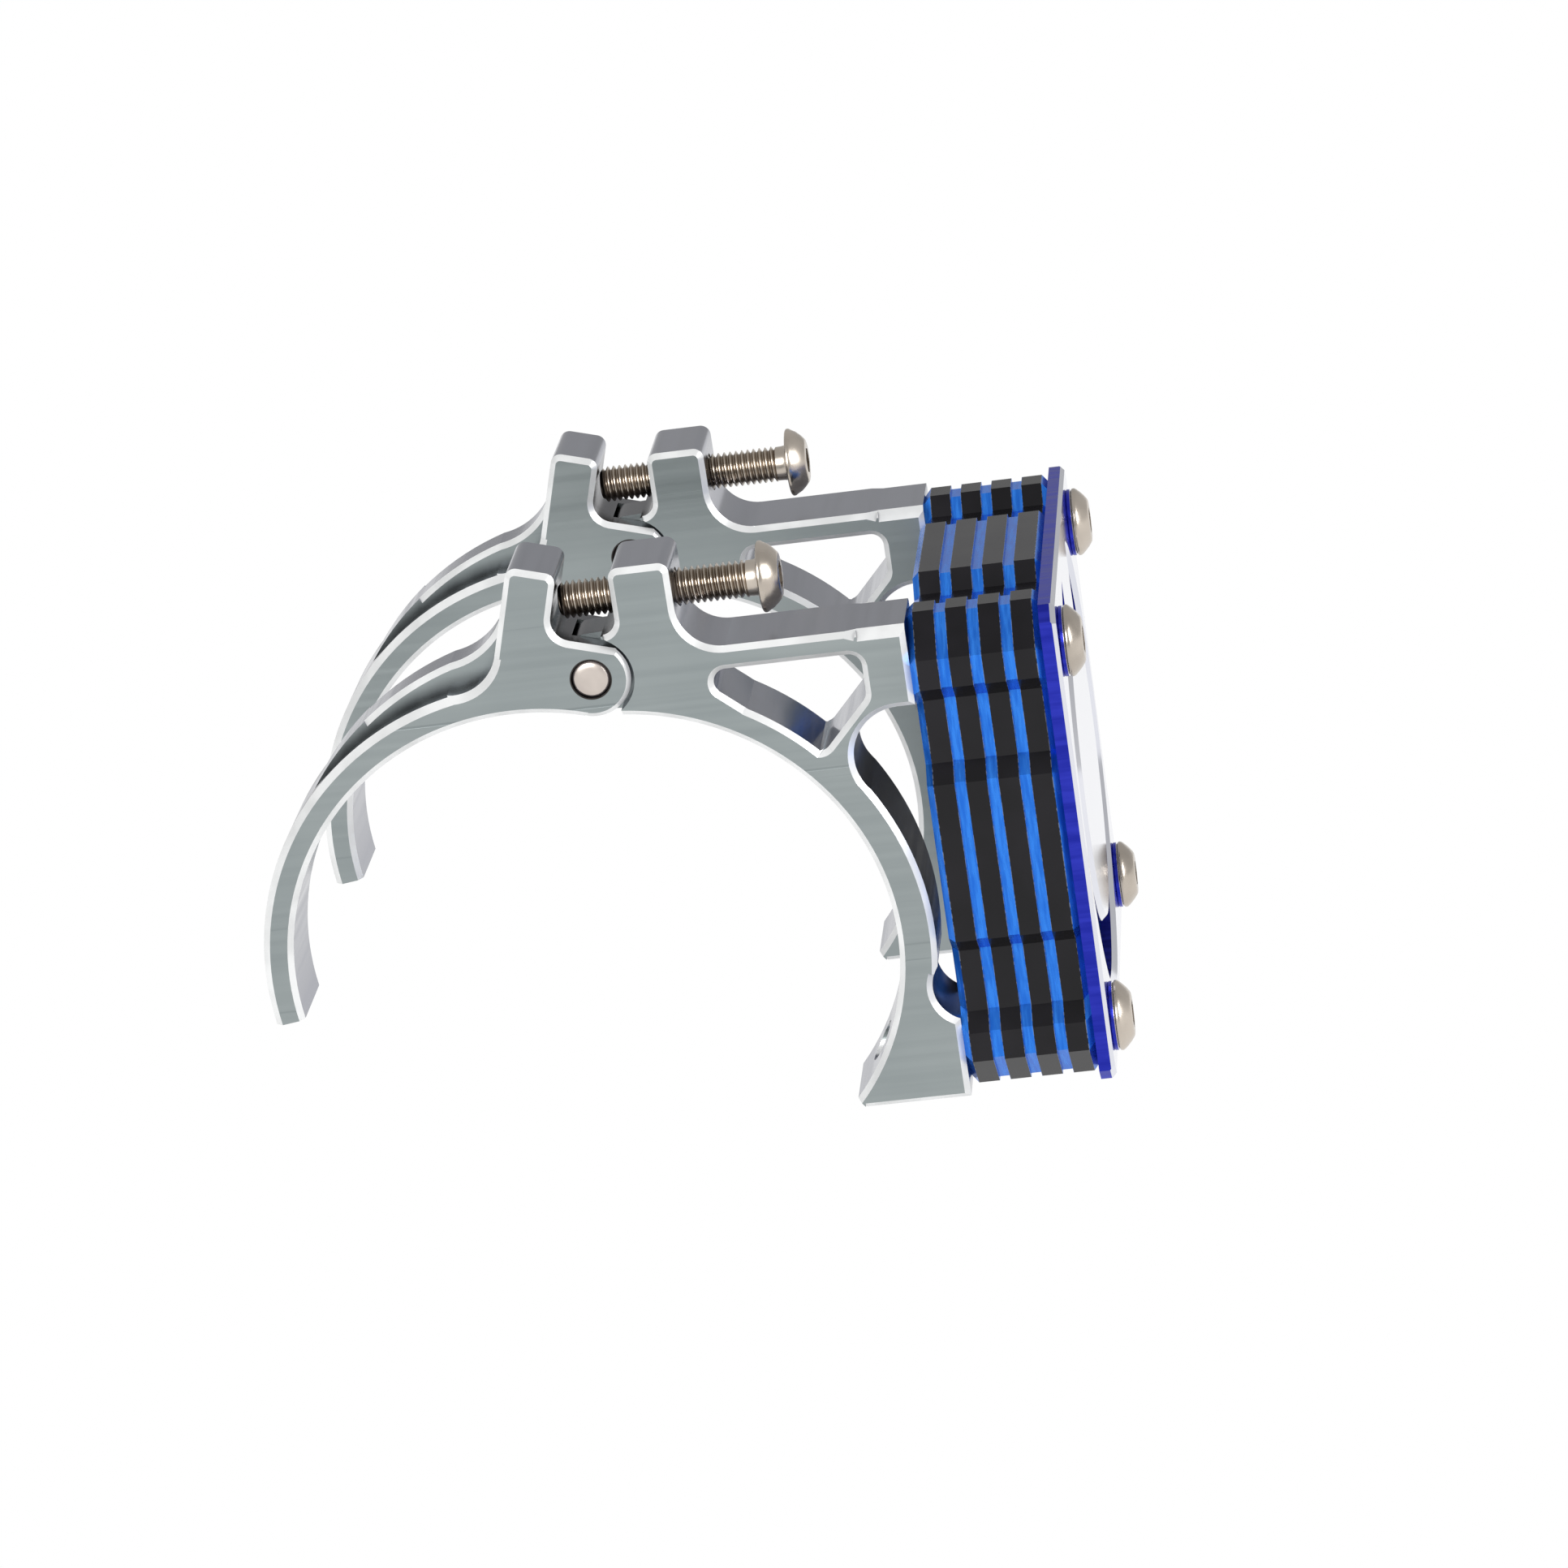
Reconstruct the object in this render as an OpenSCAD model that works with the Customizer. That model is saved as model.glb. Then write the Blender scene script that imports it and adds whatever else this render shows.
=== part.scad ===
// Clip-on cooling fan for a round motor: two hinged ring clamps carry a finned fan case.
// Millimetres. +Z up, +X from the clamp jaws to the fan, Y along the motor.
// Origin: on the motor axis, midway between the two clamps.

/* [Clamp ring] */
// Inner radius of the ring, the motor can's radius
ring_r = 21; // [18:0.5:24]
// Radial wall of the fixed half of the ring
ring_wall = 3; // [2.4:0.1:4]
// Radial wall of the swing arm
arm_wall = 2.45; // [1.8:0.05:3]
// Width of each clamp along the motor
clamp_t = 8; // [6:0.5:10]
// Width of the bright edge chamfers
edge_c = 0.45; // [0.2:0.05:0.6]
// Angle of the swing arm's tip, from the fan side
arm_tip_a = 203.6; // [190:0.5:212]
// How far the arms stand open at rest
open_a = 16.3; // [10:0.1:22]

/* [Hinge and clamp screw] */
// Radius of the hinge knuckle
knuckle_r = 3.15; // [2.8:0.05:3.6]
// Radius of the hinge dowel
pin_r = 1.5; // [1.2:0.05:1.8]
// Width of the fixed tongue inside the arm's fork
tongue_t = 3.9; // [3:0.1:5]
// Clearance each side of the tongue
fork_gap = 0.1; // [0.05:0.05:0.3]
// Clearance round the knuckle
seat_gap = 0.3; // [0.2:0.05:0.5]
// Running clearance on the dowel and on the screw threads
run_gap = 0.06; // [0.03:0.01:0.09]
// Height of the clamp screw above the dowel
screw_h = 5.55; // [5:0.05:6.5]
// Thread radius of all screws
thread_r = 1.5; // [1.2:0.05:1.6]
// Length of each clamp screw under its head
clamp_screw_l = 16; // [12:1:20]
// Air between the screw's tip and the arm's ear at rest
tip_gap = 0.03; // [0.02:0.01:0.1]

/* [Ears] */
// Height of the fixed ear above the dowel
ear_h = 8.7; // [8:0.1:10]
// Jaw side of the fixed ear
ear_x0 = 2.55; // [2:0.05:3]
// Thickness of the fixed ear
ear_t = 4.8; // [4:0.1:6]
// Distance of the arm's ear from the dowel, arm closed
arm_ear_d = 3.85; // [3.4:0.05:4.4]
// Thickness of the arm's ear
arm_ear_t = 3.95; // [3:0.05:5]
// Height of the arm's ear above the dowel
arm_ear_h = 7.95; // [7.4:0.05:9]
// Radius of the ears' upper corners
ear_r = 0.85; // [0.8:0.05:1.2]

/* [Bracket] */
// Metal between the ring and the fan's mounting face
face_gap = 1; // [0.8:0.1:3]
// Height of the top bar over the dowel
bar_rise = 1.4; // [0.8:0.05:2]
// Top of the fan pad over the upper plate screws
pad_over = 4; // [3.3:0.05:5]
// Top of the foot over the lower plate screws
foot_over = 2.6; // [2:0.05:3]
// Radius of the window's corners
win_r = 1.05; // [0.8:0.05:1.2]

/* [Fan case] */
// Spacing of the plate screws, both ways, and of the two clamps
hole_pitch = 32; // [31:0.1:34]
// Distance from a screw to the case's side
hole_edge = 4.15; // [4:0.05:5]
// Depth of the case
case_d = 10.5; // [9.5:0.1:12]
// Wall of the case at its thinnest, before the grooves
duct_wall = 1.8; // [1.4:0.05:2.4]
// Cut corner of the case
corner_c = 3.1; // [2:0.05:3.4]
// Depth of the notches in each side
notch_d = 1.5; // [1:0.05:2.1]
// Depth of the cooling grooves
groove_d = 0.3; // [0.2:0.05:1]
// Width of each groove
groove_w = 0.87; // [0.6:0.01:1.2]
// Bevel round both faces of the case
case_c = 0.55; // [0.3:0.05:0.8]

/* [Cover plate] */
// Thickness of the cover plate
plate_t = 1.3; // [1:0.1:2]
// Cut corner of the plate
plate_c = 1.15; // [0.8:0.05:2]
// Lip of the plate inside the air duct
open_lip = 0.3; // [0:0.05:1.5]
// Radius of the polished disc
disc_r = 13; // [11:0.1:14]
// Width of the bridge that carries the disc
bridge_w = 11; // [8:0.5:14]
// Thickness of the washers
washer_t = 0.4; // [0.3:0.1:1]
// Height of the plate screws' low heads
low_head_h = 1.35; // [1.1:0.05:1.65]
// Length of each plate screw under its head
plate_screw_l = 16; // [14:1:18]

/* [Fan] */
// Air between the blade tips and the duct
blade_gap = 0.7; // [0.4:0.05:1.2]
// Number of blades
blades = 7; // [5:1:11]
// Radius of the rotor hub
hub_r = 11.6; // [10.8:0.1:12.5]
// Radius of the rotor shaft
shaft_r = 1; // [0.75:0.05:1.25]
// Running clearance round the rotor
rotor_gap = 0.5; // [0.3:0.05:0.8]

/* [Hidden] */
$fn = 64;
e = 0.01;
case_w = hole_pitch + 2 * hole_edge;
half = case_w / 2;
duct_r = half - duct_wall;
open_r = duct_r - open_lip;
blade_r = duct_r - blade_gap;
clamp_y = hole_pitch / 2;
pin_z = ring_r + knuckle_r + 0.05;
seat_r = knuckle_r + seat_gap;
fork_t = tongue_t + 2 * fork_gap;
rib_t = clamp_t - 4;
ring_o = ring_r + ring_wall;
arm_o = ring_r + arm_wall;
ear_x1 = ear_x0 + ear_t;
ear_top = pin_z + ear_h;
nose_z = pin_z + 4.6;
screw_z = pin_z + screw_h;
head_r = thread_r * 1.9;
head_h = thread_r * 1.1;
tip_r = thread_r * 0.74;
contact_x = (-arm_ear_d + (screw_h + tip_r) * sin(open_a)) / cos(open_a);
tip_x = contact_x + tip_gap;
face_x = ring_o + face_gap;
bar_z = pin_z + bar_rise;
fan_z = bar_z - pad_over - hole_pitch / 2;
foot_z = fan_z - half;
foot_top = fan_z - hole_pitch / 2 + foot_over;
foot_x = sqrt(pow(ring_r, 2) - pow(foot_z + 0.85, 2));
foot_a = asin((foot_z + 3) / ring_r);
valley = knuckle_r - 0.4;
fillet_r = 3.5;
nose_r = 1.2;
valley_r = 1.7;
pocket_r = 4;
pocket_x = face_x - 1.4;
pocket_z = sqrt(pow(ring_o + pocket_r - 0.05, 2) - pow(pocket_x, 2));
pad_z0 = pocket_z + pocket_r;
notch_r = 3.05;
notch_x = face_x + 1.2;
notch_z = foot_top + sqrt(pow(notch_r, 2) - pow(notch_x - face_x, 2));
web_r = ring_r + 2.4;
win_x1 = face_x - 3.7 - win_r;
win_z1 = bar_z - 1.9 - win_r;
win_ax = sqrt(pow(web_r + 1.6, 2) - pow(win_z1, 2));
win_dz = win_z1 - 5.55;
win_dx = sqrt(pow(web_r + 0.75, 2) - pow(win_dz, 2));
plate_x = face_x + case_d;
wash_x = plate_x + plate_t;
head_x = wash_x + washer_t;
lands = 4;
land_w = (case_d - 2 * case_c - (lands - 1) * groove_w) / lands;
flat_w = 2.45;
slope_w = 1.35;
floor_w = 5.25;
s3 = half - corner_c;
s2 = s3 - flat_w;
s1 = s2 - slope_w;
s0 = s1 - floor_w;
land_h = s0 - slope_w;
tube_r = 3.4;
bear_r = 2.7;
bear_w = 2.3;
pcb_t = 0.8;
core_r = 8.1;
core_t = 3;
mag_r = core_r + rotor_gap;
cup_t = 0.7;
mag_t = hub_r - 1.2 - cup_t - mag_r;
cup_r = mag_r + mag_t;
back_x = plate_x;
pcb_x = back_x - 0.6 - pcb_t;
rotor_x1 = pcb_x - rotor_gap - 0.2;
rotor_x0 = face_x + 0.9;
hub_t = 1;
cup_x = rotor_x0 + hub_t;
core_x = rotor_x1 - 0.7 - core_t;
tube_x = cup_x + cup_t + 0.45;

// ---- helpers: flat shapes are drawn in X-Z and given width along Y ----

// Flat shape made into a slab of width t, centred on Y = 0
module slab(t) {
    rotate([90, 0, 0])
        linear_extrude(height = t, center = true)
            children();
}

// Round bar or hole along Y
module ybar(x, z, r, t) {
    translate([x, 0, z])
        rotate([90, 0, 0])
            cylinder(h = t, r = r, center = true, $fn = 96);
}

// Round bar or hole along X from x0 to x1
module xbar(x0, x1, r, y = 0, z = 0) {
    translate([x0, y, z])
        rotate([0, 90, 0])
            cylinder(h = x1 - x0, r = r);
}

// Cone along X
module xcone(x0, x1, r0, r1, y = 0, z = 0) {
    translate([x0, y, z])
        rotate([0, 90, 0])
            cylinder(h = x1 - x0, r1 = r0, r2 = r1);
}

// Tube along X
module xtube(x0, x1, ro, ri, y = 0, z = 0) {
    difference() {
        xbar(x0, x1, ro, y, z);
        xbar(x0 - 1, x1 + 1, ri, y, z);
    }
}

// Chamfer cut along a straight edge from a to b on both faces of a slab of width t
module cut_edge(a, b, t, c) {
    len = sqrt(pow(b[0] - a[0], 2) + pow(b[1] - a[1], 2));
    for (s = [-1, 1])
        translate([a[0], s * t / 2, a[1]])
            rotate([0, -atan2(b[1] - a[1], b[0] - a[0]), 0])
                translate([len / 2, 0, 0])
                    rotate([45, 0, 0])
                        cube([len + c / 2, c * sqrt(2), c * sqrt(2)], center = true);
}

// Chamfer cut along an arc on both faces; out = 1 rounds a solid disc's rim, -1 a hole's rim
module cut_arc(x, z, r, a0, a1, t, c, out) {
    for (s = [-1, 1])
        translate([x, 0, z])
            rotate([90, 0, 0])
                rotate([0, 0, a0])
                    rotate_extrude(angle = a1 - a0, $fn = 96)
                        polygon([
                            [r + out * c * 0.7, s * (t / 2 - c * 1.7)],
                            [r - out * c * 1.7, s * (t / 2 + c * 0.7)],
                            [r + out * c * 0.7, s * (t / 2 + c * 0.7)]
                        ]);
}

// Sector of a disc as a flat shape
module sector(r, a0, a1) {
    m = (a0 + a1) / 2;
    polygon([
        [0, 0],
        [r * cos(a0), r * sin(a0)],
        [1.6 * r * cos((a0 + m) / 2), 1.6 * r * sin((a0 + m) / 2)],
        [1.6 * r * cos(m), 1.6 * r * sin(m)],
        [1.6 * r * cos((a1 + m) / 2), 1.6 * r * sin((a1 + m) / 2)],
        [r * cos(a1), r * sin(a1)]
    ]);
}

// Straight bar with round ends, width along Y
module rod(a, b, r, t) {
    len = sqrt(pow(b[0] - a[0], 2) + pow(b[1] - a[1], 2));
    ybar(a[0], a[1], r, t);
    ybar(b[0], b[1], r, t);
    translate([a[0], 0, a[1]])
        rotate([0, -atan2(b[1] - a[1], b[0] - a[0]), 0])
            translate([len / 2, 0, 0])
                cube([len, t, 2 * r], center = true);
}

// Button-head screw along X: under-head plane at x = 0, shank towards -X, tip chamfered
module button_screw(l, h) {
    ch = thread_r - tip_r;
    xbar(-l + ch, 0, thread_r);
    xcone(-l, -l + ch, tip_r, thread_r);
    difference() {
        union() {
            xbar(0, h * 0.25, head_r);
            xcone(h * 0.25, h * 0.7, head_r, head_r * 0.86);
            xcone(h * 0.7, h, head_r * 0.86, head_r * 0.56);
        }
        translate([h * 0.35, 0, 0])
            rotate([0, 90, 0])
                cylinder(h = h, r = thread_r * 0.77, $fn = 6);
    }
}

// ---- clamp parts, drawn midway and moved to each clamp ----

// Triangular window between ring, bar and fan pad
module window_cut() {
    a = [win_ax, win_z1];
    b = [win_x1, win_z1];
    c = [win_x1, win_z1 - 2.15];
    d = [win_dx, win_dz];
    n = [a[1] - d[1], d[0] - a[0]] / norm(a - d);
    web_a = atan2(n[1], n[0]) + acos((a * n - win_r) / web_r);
    m = [c[1] - d[1], d[0] - c[0]] / norm(c - d);
    web_d = atan2(d[1], d[0]) - acos((d * d + web_r * web_r - win_r * win_r) / (2 * norm(d) * web_r));
    k = web_r * [cos(web_d), sin(web_d)] - d;
    difference() {
        union() {
            rod(a, b, win_r, clamp_t + 1);
            rod(b, c, win_r, clamp_t + 1);
            rod(c, d, win_r, clamp_t + 1);
            rod(a, d, win_r, clamp_t + 1);
            slab(clamp_t + 1)
                polygon([a, b, c, d]);
            // flared rims
            cut_edge([a[0], a[1] + win_r], [b[0], b[1] + win_r], clamp_t, edge_c);
            cut_edge([b[0] + win_r, b[1]], [c[0] + win_r, c[1]], clamp_t, edge_c);
            cut_edge(d + m * win_r, c + m * win_r, clamp_t, edge_c);
            for (p = [a, b, c])
                cut_arc(p[0], p[1], win_r, 0, 360, clamp_t, edge_c, -1);
        }
        ybar(0, 0, web_r, clamp_t + 3);
    }
    cut_edge(a - n * win_r, web_r * [cos(web_a), sin(web_a)] - [n[1], -n[0]] * 0.25, clamp_t, edge_c);
    cut_arc(d[0], d[1], win_r, atan2(k[1], k[0]) - 6, atan2(m[1], m[0]) + 15, clamp_t, edge_c * 0.97, -1);
    cut_arc(0, 0, web_r, web_d - 0.4, web_a + 0.6, clamp_t, edge_c, 1);
}

module bracket_body() {
    difference() {
        union() {
            slab(clamp_t)
                intersection() {
                    circle(r = ring_o, $fn = 96);
                    sector(ring_o + 5, foot_a, 84);
                }
            slab(clamp_t)
                polygon([
                    [ear_x0 - nose_r - 0.05, ring_r - 6],
                    [ear_x0 - nose_r - 0.05, nose_z - 0.7],
                    [ear_x0, nose_z],
                    [ear_x0, ear_top - ear_r],
                    [ear_x0 + ear_r, ear_top],
                    [ear_x1 - ear_r, ear_top],
                    [ear_x1, ear_top - ear_r],
                    [ear_x1, bar_z],
                    [face_x, bar_z],
                    [face_x, pad_z0],
                    [pocket_x, pad_z0],
                    [pocket_x, pocket_z - 2],
                    [ring_r * 0.57, ring_r * 0.57]
                ]);
            slab(clamp_t)
                polygon([
                    [ring_r * 0.8, notch_z + 2],
                    [face_x, notch_z + 1.4],
                    [face_x, foot_z],
                    [foot_x + 0.65, foot_z],
                    [foot_x - 0.2, foot_z + 1.1],
                    [foot_x - 1, foot_z + 3]
                ]);
            for (x = [ear_x0 + ear_r, ear_x1 - ear_r])
                ybar(x, ear_top - ear_r, ear_r, clamp_t);
            // fillet between ear and bar
            difference() {
                slab(clamp_t)
                    polygon([
                        [ear_x1 - 1, bar_z - 1],
                        [ear_x1 - 1, bar_z + fillet_r],
                        [ear_x1, bar_z + fillet_r],
                        [ear_x1 + fillet_r, bar_z],
                        [ear_x1 + fillet_r, bar_z - 1]
                    ]);
                ybar(ear_x1 + fillet_r, bar_z + fillet_r, fillet_r, clamp_t + 1);
            }
        }
        // motor bore, hinge seat, pocket, notch, window
        ybar(0, 0, ring_r, clamp_t + 1);
        ybar(0, pin_z, seat_r, clamp_t + 1);
        ybar(ear_x0 - nose_r, nose_z, nose_r, clamp_t + 1);
        translate([0, 0, ring_r])
            cube([4, clamp_t + 1, 3.6], center = true);
        ybar(pocket_x, pocket_z, pocket_r, clamp_t + 1);
        ybar(notch_x, notch_z, notch_r, clamp_t + 1);
        translate([notch_x - 1.2, -clamp_t, notch_z])
            cube([3, clamp_t * 2, 3]);
        window_cut();
        // chamfers
        cut_arc(0, 0, ring_r, foot_a - 10, 86, clamp_t, edge_c, -1);
        cut_arc(0, 0, ring_o, asin((notch_z + 1) / ring_o), atan2(pocket_z, pocket_x) + 1, clamp_t, edge_c, 1);
        cut_arc(pocket_x, pocket_z, pocket_r, 88, 208, clamp_t, edge_c, -1);
        cut_arc(notch_x, notch_z, notch_r, 155, 247, clamp_t, edge_c, -1);
        cut_arc(ear_x1 + fillet_r, bar_z + fillet_r, fillet_r, 180, 270, clamp_t, edge_c, -1);
        cut_arc(ear_x0 - nose_r, nose_z, nose_r, 275, 357, clamp_t, edge_c, -1);
        cut_edge([ear_x0, nose_z], [ear_x0, ear_top - ear_r], clamp_t, edge_c);
        cut_arc(ear_x0 + ear_r, ear_top - ear_r, ear_r, 90, 180, clamp_t, edge_c, 1);
        cut_edge([ear_x0 + ear_r, ear_top], [ear_x1 - ear_r, ear_top], clamp_t, edge_c);
        cut_arc(ear_x1 - ear_r, ear_top - ear_r, ear_r, 0, 90, clamp_t, edge_c, 1);
        cut_edge([ear_x1, ear_top - ear_r], [ear_x1, bar_z + fillet_r], clamp_t, edge_c);
        cut_edge([ear_x1 + fillet_r, bar_z], [face_x - 3.8, bar_z], clamp_t, edge_c);
        // the bevel widens on to the pad
        cut_edge([face_x - 4.65, bar_z + edge_c * 0.8], [face_x - 3.95, bar_z + edge_c * 0.22],
                 clamp_t, edge_c * 1.8);
        cut_edge([face_x - 3.6, bar_z], [face_x, bar_z], clamp_t, edge_c * 1.8);
        cut_edge([face_x, bar_z], [face_x, pad_z0], clamp_t, edge_c);
        cut_edge([face_x, pad_z0], [pocket_x, pad_z0], clamp_t, edge_c);
        cut_edge([face_x, foot_top], [face_x, foot_z], clamp_t, edge_c);
        cut_edge([foot_x + 0.65, foot_z], [face_x, foot_z], clamp_t, edge_c);
    }
}

module bracket() {
    difference() {
        union() {
            bracket_body();
            // tongue between the arm's cheeks
            difference() {
                union() {
                    ybar(0, pin_z, knuckle_r, tongue_t);
                    slab(tongue_t)
                        polygon([
                            [0, pin_z],
                            [0, pin_z + knuckle_r],
                            [1.3, pin_z + 3.2],
                            [5, pin_z + 2.6],
                            [5, ring_r - 1],
                            [0, ring_r - 1]
                        ]);
                }
                ybar(0, 0, ring_r, clamp_t + 1);
            }
        }
        ybar(0, pin_z, pin_r, clamp_t + 1);
        xbar(ear_x0 - 2, ear_x1 + 2, thread_r + run_gap, 0, screw_z);
        xbar(win_x1 + win_r - 1, face_x + 1, thread_r + run_gap, 0, fan_z + hole_pitch / 2);
        xbar(ring_r * 0.7, face_x + 1, thread_r + run_gap, 0, fan_z - hole_pitch / 2);
    }
}

module arm_body() {
    d = arm_ear_d;
    xo = -d - arm_ear_t;
    top = pin_z + arm_ear_h;
    fr = 4;
    fz = sqrt(pow(arm_o + fr - 0.06, 2) - pow(xo - fr, 2));
    fa = atan2(fz, xo - fr);
    // the rib's own circle and the hollow that leads it into the ear
    rib_o = arm_o + 0.4;
    rib_m = [1.7, 2.94];
    rib_f = 6;
    hollow = [xo - rib_f, rib_m[1] + sqrt(pow(rib_o + rib_f - 0.06, 2) - pow(xo - rib_f - rib_m[0], 2))];
    rib_end = rib_m + (hollow - rib_m) * rib_o / norm(hollow - rib_m);
    rib_a = atan2(rib_end[1] - rib_m[1], rib_end[0] - rib_m[0]);
    difference() {
        union() {
            slab(clamp_t)
                intersection() {
                    circle(r = arm_o, $fn = 96);
                    sector(arm_o + 5, 100, arm_tip_a);
                }
            slab(clamp_t)
                polygon([
                    [xo, fz],
                    [xo, top - ear_r],
                    [xo + ear_r, top],
                    [-d - ear_r, top],
                    [-d, top - ear_r],
                    [-d, pin_z + valley + valley_r],
                    [-d + valley_r, pin_z + valley],
                    [-0.1, pin_z + valley],
                    [-0.1, ring_r * 0.9],
                    [-ring_r * 0.4, ring_r * 0.8],
                    [xo - fr, fz * 0.88],
                    [xo - fr, fz]
                ]);
            for (x = [xo + ear_r, -d - ear_r])
                ybar(x, top - ear_r, ear_r, clamp_t);
            intersection() {
                ybar(0, pin_z, knuckle_r, clamp_t);
                translate([-10, -clamp_t, pin_z + valley - 8])
                    cube([20, clamp_t * 2, 8]);
            }
        }
        ybar(0, 0, ring_r, clamp_t + 1);
        ybar(xo - fr, fz, fr, clamp_t + 1);
        translate([xo - fr * 2, -clamp_t, fz])
            cube([fr * 2, clamp_t * 2, fr]);
        ybar(-d + valley_r, pin_z + valley + valley_r, valley_r, clamp_t + 1);
        // chamfers
        cut_arc(0, 0, ring_r, 89.6, arm_tip_a + 3, clamp_t, edge_c, -1);
        cut_arc(0, 0, arm_o, fa + 1.4, arm_tip_a + 3, clamp_t, edge_c * 1.3, 1);
        cut_arc(xo - fr, fz, fr, fa - 189, -0.5, clamp_t, edge_c * 1.3, -1);
        cut_arc(0, pin_z, knuckle_r, -88.5, 62, clamp_t, edge_c * 0.8, 1);
        cut_edge([xo, fz - 0.1], [xo, top - ear_r], clamp_t, edge_c);
        cut_arc(xo + ear_r, top - ear_r, ear_r, 90, 180, clamp_t, edge_c, 1);
        cut_edge([xo + ear_r, top], [-d - ear_r, top], clamp_t, edge_c);
        cut_arc(-d - ear_r, top - ear_r, ear_r, 0, 90, clamp_t, edge_c, 1);
        cut_edge([-d, top - ear_r], [-d, pin_z + valley + valley_r], clamp_t, edge_c);
        cut_arc(-d + valley_r, pin_z + valley + valley_r, valley_r, 182, 268, clamp_t, edge_c, -1);
        cut_edge([-d + valley_r, pin_z + valley], [1.6, pin_z + valley], clamp_t, edge_c);
    }
    // tall rib along the middle of the band, leading into the ear
    difference() {
        union() {
            slab(rib_t)
                intersection() {
                    translate(rib_m)
                        circle(r = rib_o, $fn = 96);
                    sector(arm_o + 9, 108, 158);
                }
            slab(rib_t)
                polygon([
                    rib_end + [-0.1, -2],
                    rib_end,
                    hollow + [rib_f, 0],
                    hollow + [rib_f + 1, 0],
                    hollow + [rib_f + 1, -6]
                ]);
        }
        ybar(hollow[0], hollow[1], rib_f, clamp_t);
        ybar(0, 0, arm_o - 0.5, clamp_t + 1);
        cut_arc(rib_m[0], rib_m[1], rib_o, rib_a + 1.6, 144, rib_t, edge_c, 1);
        cut_arc(hollow[0], hollow[1], rib_f, rib_a - 187, -12, rib_t, edge_c, -1);
    }
}

// Swing arm, drawn closed and turned open about the dowel
module arm() {
    translate([0, 0, pin_z])
        rotate([0, open_a, 0])
            translate([0, 0, -pin_z])
                difference() {
                    arm_body();
                    // fork for the tongue
                    ybar(0, pin_z, seat_r, fork_t);
                    translate([5, 0, pin_z])
                        cube([10, fork_t, 12], center = true);
                    translate([3 - seat_r * 0.55, 0, ring_r])
                        cube([6, fork_t, 3], center = true);
                    ybar(0, pin_z, pin_r + run_gap, clamp_t + 1);
                }
}

module near_bracket() {
    color([0.45, 0.5, 0.5])
        translate([0, -clamp_y, 0])
            bracket();
}

module far_bracket() {
    color([0.45, 0.5, 0.5])
        translate([0, clamp_y, 0])
            bracket();
}

module near_hinge_pin() {
    color([0.75, 0.72, 0.68])
        translate([0, -clamp_y, 0])
            ybar(0, pin_z, pin_r, clamp_t);
}

module far_hinge_pin() {
    color([0.75, 0.72, 0.68])
        translate([0, clamp_y, 0])
            ybar(0, pin_z, pin_r, clamp_t);
}

module near_arm() {
    color([0.45, 0.5, 0.5])
        translate([0, -clamp_y, 0])
            arm();
}

module far_arm() {
    color([0.45, 0.5, 0.5])
        translate([0, clamp_y, 0])
            arm();
}

module near_clamp_screw() {
    color([0.7, 0.66, 0.6])
        translate([tip_x + clamp_screw_l, -clamp_y, screw_z])
            button_screw(clamp_screw_l, head_h);
}

module far_clamp_screw() {
    color([0.7, 0.66, 0.6])
        translate([tip_x + clamp_screw_l, clamp_y, screw_z])
            button_screw(clamp_screw_l, head_h);
}

// ---- fan case and cover ----

// Case outline inset by k, drawn in Y-Z round the fan axis
module case_outline(k) {
    q = half - k;
    f = half - notch_d - k;
    c = s3 - 0.41 * k;
    side = [
        [q, -c], [q, -s2], [f, -s1], [f, -s0], [q, -land_h],
        [q, land_h], [f, s0], [f, s1], [q, s2], [q, c]
    ];
    polygon([
        for (a = [0 : 90 : 270], p = side)
            [p[0] * cos(a) - p[1] * sin(a), p[0] * sin(a) + p[1] * cos(a)]
    ]);
}

module case_slice(x0, x1, k) {
    translate([x0, 0, fan_z])
        rotate([90, 0, 90])
            linear_extrude(height = x1 - x0)
                case_outline(k);
}

// Bevelled end of the case, full size at x and narrowing over the length of the bevel
module case_bevel(x, way) {
    translate([x, 0, fan_z])
        rotate([90, 0, 90 * way])
            linear_extrude(height = case_c, scale = (half - case_c) / half)
                case_outline(0);
}

module fan_case() {
    color([0.05, 0.1, 0.5])
        difference() {
            union() {
                case_slice(face_x + case_c, plate_x - case_c, groove_d);
                for (i = [0 : lands - 1])
                    case_slice(face_x + case_c + i * (land_w + groove_w),
                               face_x + case_c + i * (land_w + groove_w) + land_w, 0);
                case_bevel(face_x + case_c, -1);
                case_bevel(plate_x - case_c, 1);
            }
            xbar(face_x - 1, plate_x + 1, duct_r, 0, fan_z);
            for (sy = [-1, 1], sz = [-1, 1])
                xbar(face_x - 1, plate_x + 1, thread_r + 0.1,
                     sy * hole_pitch / 2, fan_z + sz * hole_pitch / 2);
            // way out for the lead, under the cover plate
            translate([plate_x - 2, half - 5, fan_z - 1.5])
                cube([3, 8, 3]);
        }
}

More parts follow.
